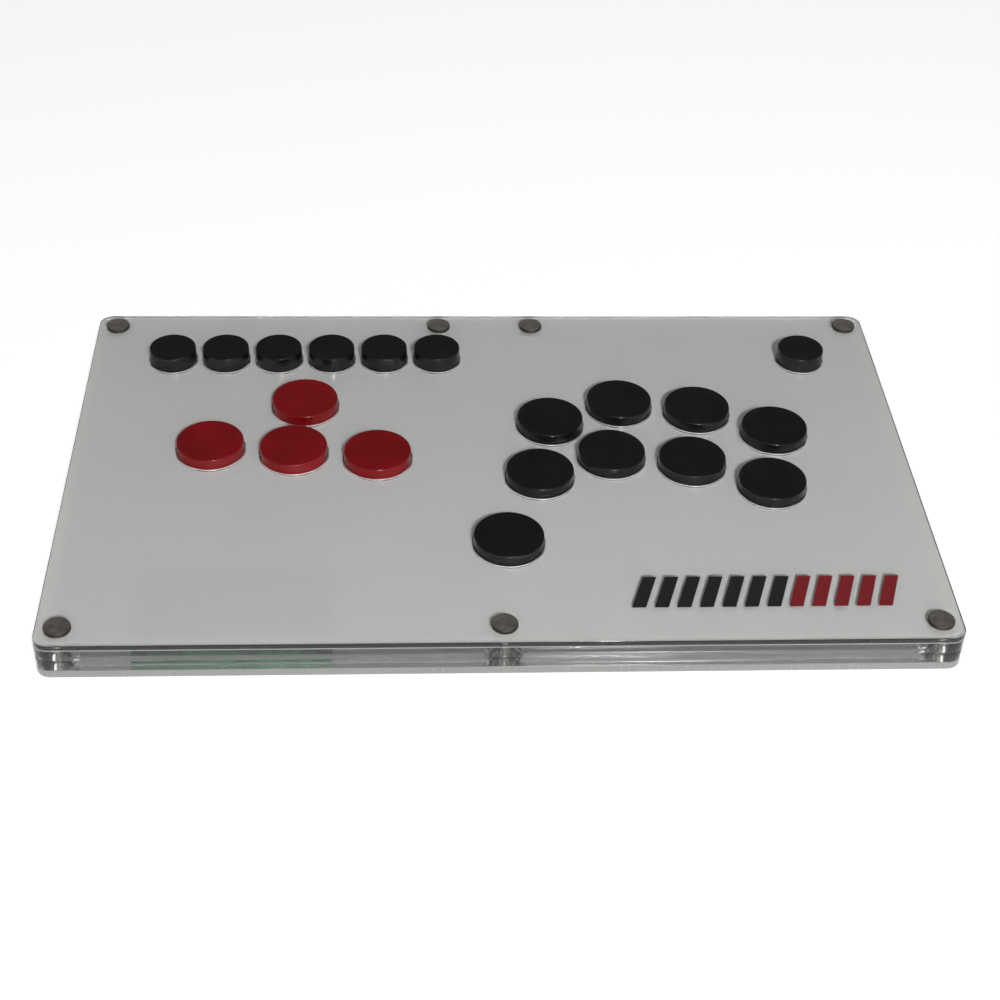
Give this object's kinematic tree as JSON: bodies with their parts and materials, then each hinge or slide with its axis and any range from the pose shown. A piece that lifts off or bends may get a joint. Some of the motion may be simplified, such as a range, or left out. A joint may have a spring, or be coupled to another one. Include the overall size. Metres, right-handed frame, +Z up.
{
  "type": "all-button arcade controller",
  "caption": "Flat game controller case of stacked acrylic sheets with round push buttons on low-profile switches, four of them for directions",
  "frame": {"origin": "centre of the footprint, at the undersides of the rubber feet", "axes": "+X to the player's right along the long side, +Y to the back edge with the cable port, +Z up out of the top panel"},
  "size_m": [0.3, 0.188, 0.0205],
  "materials": {
    "white_film": "translucent milk-white film",
    "clear_acrylic": "clear acrylic, laser-cut edges",
    "milky_acrylic": "milk-white acrylic, laser-cut edges",
    "nickel_steel": "nickel plated, turned face",
    "foot_rubber": "matt rubber",
    "switch_housing": "fine moulded texture",
    "spring_steel": "drawn wire",
    "contact_brass": "gold plated strip",
    "black_board": "black solder mask",
    "green_board": "green solder mask",
    "chip_body": "moulded epoxy",
    "spacer_nylon": "natural nylon",
    "port_steel": "stamped stainless sheet",
    "black_cap": "glossy black moulding",
    "red_cap": "glossy red moulding",
    "stem_plastic": "low-friction acetal"
  },
  "bodies": {
    "case": {"base_panel": "milky_acrylic", "board_chips": "chip_body", "board_header": "chip_body", "board_screws": "nickel_steel", "board_spacers": "spacer_nylon", "case_bolts": "nickel_steel", "case_nuts": "nickel_steel", "encoder_board": "green_board", "lower_frame": "clear_acrylic", "rubber_feet": "foot_rubber", "switch_bases": "switch_housing", "switch_board": "black_board", "switch_contacts": "contact_brass", "switch_covers": "switch_housing", "switch_springs": "spring_steel", "top_panel": "clear_acrylic", "upper_frame": "clear_acrylic", "usb_shell": "port_steel", "usb_tongue": "chip_body", "white_underlay": "white_film"},
    "button_up": {"cap_up": "red_cap", "stem_up": "stem_plastic"},
    "button_left": {"cap_left": "red_cap", "stem_left": "stem_plastic"},
    "button_down": {"cap_down": "red_cap", "stem_down": "stem_plastic"},
    "button_right": {"cap_right": "red_cap", "stem_right": "stem_plastic"},
    "button_a1": {"cap_a1": "black_cap", "stem_a1": "stem_plastic"},
    "button_a2": {"cap_a2": "black_cap", "stem_a2": "stem_plastic"},
    "button_a3": {"cap_a3": "black_cap", "stem_a3": "stem_plastic"},
    "button_a4": {"cap_a4": "black_cap", "stem_a4": "stem_plastic"},
    "button_b1": {"cap_b1": "black_cap", "stem_b1": "stem_plastic"},
    "button_b2": {"cap_b2": "black_cap", "stem_b2": "stem_plastic"},
    "button_b3": {"cap_b3": "black_cap", "stem_b3": "stem_plastic"},
    "button_b4": {"cap_b4": "black_cap", "stem_b4": "stem_plastic"},
    "button_thumb": {"cap_thumb": "black_cap", "stem_thumb": "stem_plastic"},
    "button_menu_1": {"cap_menu_1": "black_cap", "stem_menu_1": "stem_plastic"},
    "button_menu_2": {"cap_menu_2": "black_cap", "stem_menu_2": "stem_plastic"},
    "button_menu_3": {"cap_menu_3": "black_cap", "stem_menu_3": "stem_plastic"},
    "button_menu_4": {"cap_menu_4": "black_cap", "stem_menu_4": "stem_plastic"},
    "button_menu_5": {"cap_menu_5": "black_cap", "stem_menu_5": "stem_plastic"},
    "button_menu_6": {"cap_menu_6": "black_cap", "stem_menu_6": "stem_plastic"},
    "button_menu_7": {"cap_menu_7": "black_cap", "stem_menu_7": "stem_plastic"}
  },
  "joints": [
    {"name": "press_up", "type": "slide", "parent": "case", "child": "button_up", "axis": [0, 0, 1], "range_m": [-0.003, 0], "stiffness_N_per_m": 150, "springref_m": 0.002, "deforming": ["switch_springs"]},
    {"name": "press_left", "type": "slide", "parent": "case", "child": "button_left", "axis": [0, 0, 1], "range_m": [-0.003, 0], "stiffness_N_per_m": 150, "springref_m": 0.002, "deforming": ["switch_springs"]},
    {"name": "press_down", "type": "slide", "parent": "case", "child": "button_down", "axis": [0, 0, 1], "range_m": [-0.003, 0], "stiffness_N_per_m": 150, "springref_m": 0.002, "deforming": ["switch_springs"]},
    {"name": "press_right", "type": "slide", "parent": "case", "child": "button_right", "axis": [0, 0, 1], "range_m": [-0.003, 0], "stiffness_N_per_m": 150, "springref_m": 0.002, "deforming": ["switch_springs"]},
    {"name": "press_a1", "type": "slide", "parent": "case", "child": "button_a1", "axis": [0, 0, 1], "range_m": [-0.003, 0], "stiffness_N_per_m": 150, "springref_m": 0.002, "deforming": ["switch_springs"]},
    {"name": "press_a2", "type": "slide", "parent": "case", "child": "button_a2", "axis": [0, 0, 1], "range_m": [-0.003, 0], "stiffness_N_per_m": 150, "springref_m": 0.002, "deforming": ["switch_springs"]},
    {"name": "press_a3", "type": "slide", "parent": "case", "child": "button_a3", "axis": [0, 0, 1], "range_m": [-0.003, 0], "stiffness_N_per_m": 150, "springref_m": 0.002, "deforming": ["switch_springs"]},
    {"name": "press_a4", "type": "slide", "parent": "case", "child": "button_a4", "axis": [0, 0, 1], "range_m": [-0.003, 0], "stiffness_N_per_m": 150, "springref_m": 0.002, "deforming": ["switch_springs"]},
    {"name": "press_b1", "type": "slide", "parent": "case", "child": "button_b1", "axis": [0, 0, 1], "range_m": [-0.003, 0], "stiffness_N_per_m": 150, "springref_m": 0.002, "deforming": ["switch_springs"]},
    {"name": "press_b2", "type": "slide", "parent": "case", "child": "button_b2", "axis": [0, 0, 1], "range_m": [-0.003, 0], "stiffness_N_per_m": 150, "springref_m": 0.002, "deforming": ["switch_springs"]},
    {"name": "press_b3", "type": "slide", "parent": "case", "child": "button_b3", "axis": [0, 0, 1], "range_m": [-0.003, 0], "stiffness_N_per_m": 150, "springref_m": 0.002, "deforming": ["switch_springs"]},
    {"name": "press_b4", "type": "slide", "parent": "case", "child": "button_b4", "axis": [0, 0, 1], "range_m": [-0.003, 0], "stiffness_N_per_m": 150, "springref_m": 0.002, "deforming": ["switch_springs"]},
    {"name": "press_thumb", "type": "slide", "parent": "case", "child": "button_thumb", "axis": [0, 0, 1], "range_m": [-0.003, 0], "stiffness_N_per_m": 150, "springref_m": 0.002, "deforming": ["switch_springs"]},
    {"name": "press_menu_1", "type": "slide", "parent": "case", "child": "button_menu_1", "axis": [0, 0, 1], "range_m": [-0.003, 0], "stiffness_N_per_m": 150, "springref_m": 0.002, "deforming": ["switch_springs"]},
    {"name": "press_menu_2", "type": "slide", "parent": "case", "child": "button_menu_2", "axis": [0, 0, 1], "range_m": [-0.003, 0], "stiffness_N_per_m": 150, "springref_m": 0.002, "deforming": ["switch_springs"]},
    {"name": "press_menu_3", "type": "slide", "parent": "case", "child": "button_menu_3", "axis": [0, 0, 1], "range_m": [-0.003, 0], "stiffness_N_per_m": 150, "springref_m": 0.002, "deforming": ["switch_springs"]},
    {"name": "press_menu_4", "type": "slide", "parent": "case", "child": "button_menu_4", "axis": [0, 0, 1], "range_m": [-0.003, 0], "stiffness_N_per_m": 150, "springref_m": 0.002, "deforming": ["switch_springs"]},
    {"name": "press_menu_5", "type": "slide", "parent": "case", "child": "button_menu_5", "axis": [0, 0, 1], "range_m": [-0.003, 0], "stiffness_N_per_m": 150, "springref_m": 0.002, "deforming": ["switch_springs"]},
    {"name": "press_menu_6", "type": "slide", "parent": "case", "child": "button_menu_6", "axis": [0, 0, 1], "range_m": [-0.003, 0], "stiffness_N_per_m": 150, "springref_m": 0.002, "deforming": ["switch_springs"]},
    {"name": "press_menu_7", "type": "slide", "parent": "case", "child": "button_menu_7", "axis": [0, 0, 1], "range_m": [-0.003, 0], "stiffness_N_per_m": 150, "springref_m": 0.002, "deforming": ["switch_springs"]}
  ]
}
